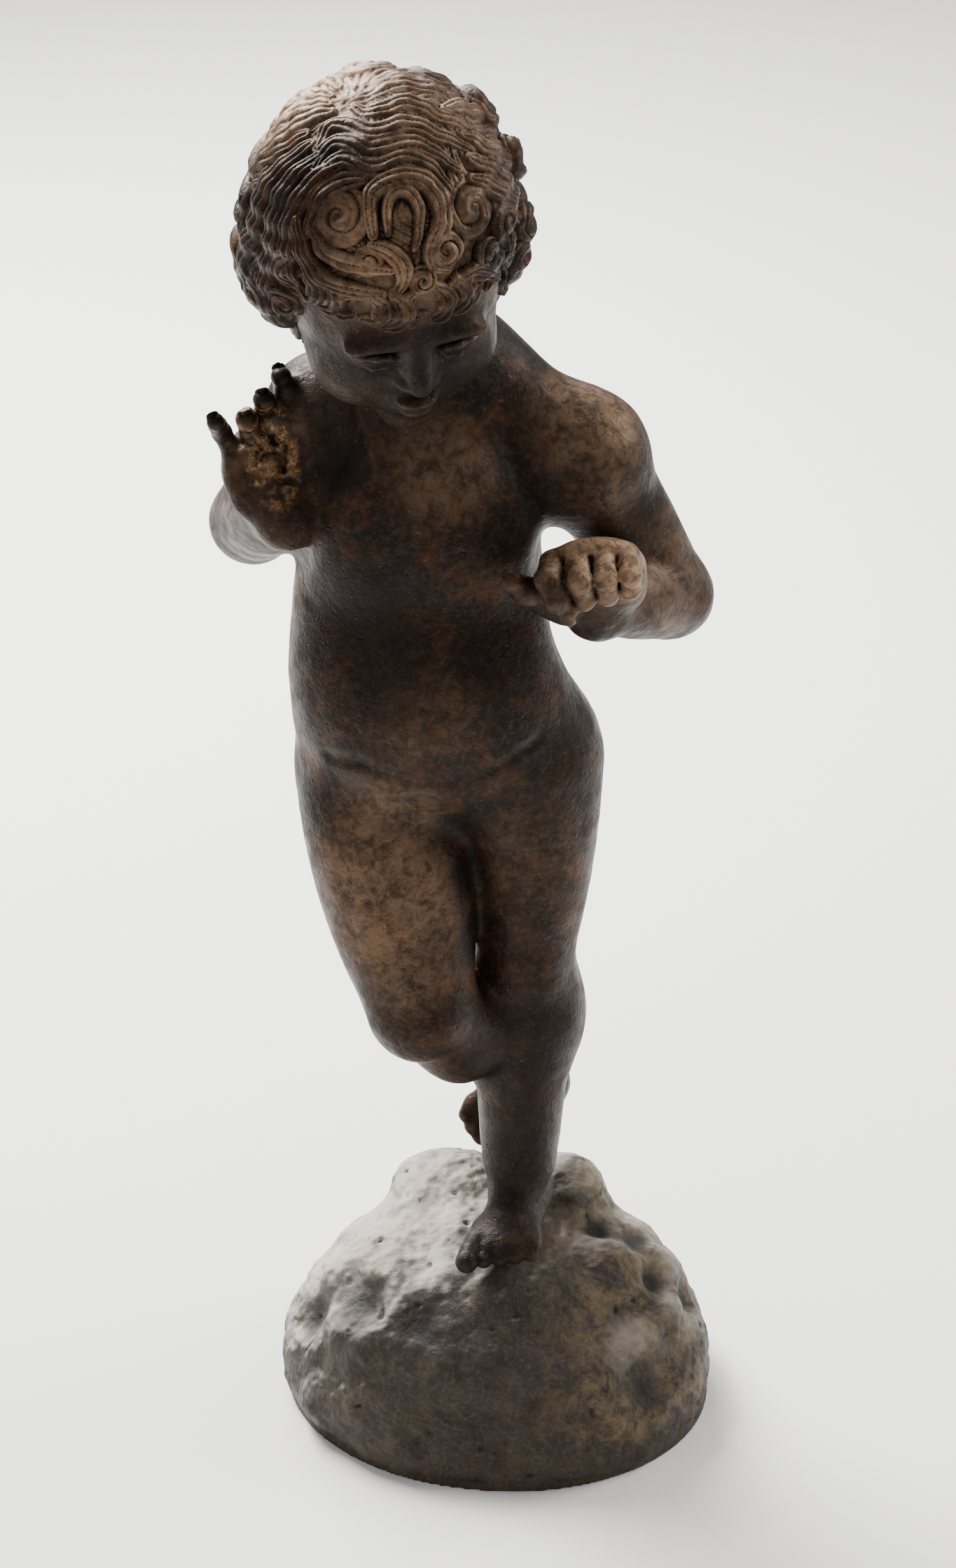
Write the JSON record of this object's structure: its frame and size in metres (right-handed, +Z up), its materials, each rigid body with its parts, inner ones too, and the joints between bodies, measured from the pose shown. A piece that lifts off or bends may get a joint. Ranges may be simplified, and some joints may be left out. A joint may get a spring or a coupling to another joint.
{
  "type": "garden statue",
  "caption": "Cast lead garden figure of a curly-headed putto that stands on one leg on a low natural boulder, one hand raised open and the other closed.",
  "frame": {"origin": "centre of the boulder's flat underside, on the ground", "axes": "+Z up, the figure faces -Y, +X is to the right of someone who looks at its front"},
  "size_m": [0.3178, 0.2337, 0.9053],
  "materials": {
    "lead": "weathered dull lead with a brown patina",
    "rock": "rough weathered cast rock with pale bloom and lichen"
  },
  "bodies": {
    "root": {"putto": "lead", "boulder": "rock"}
  },
  "joints": []
}
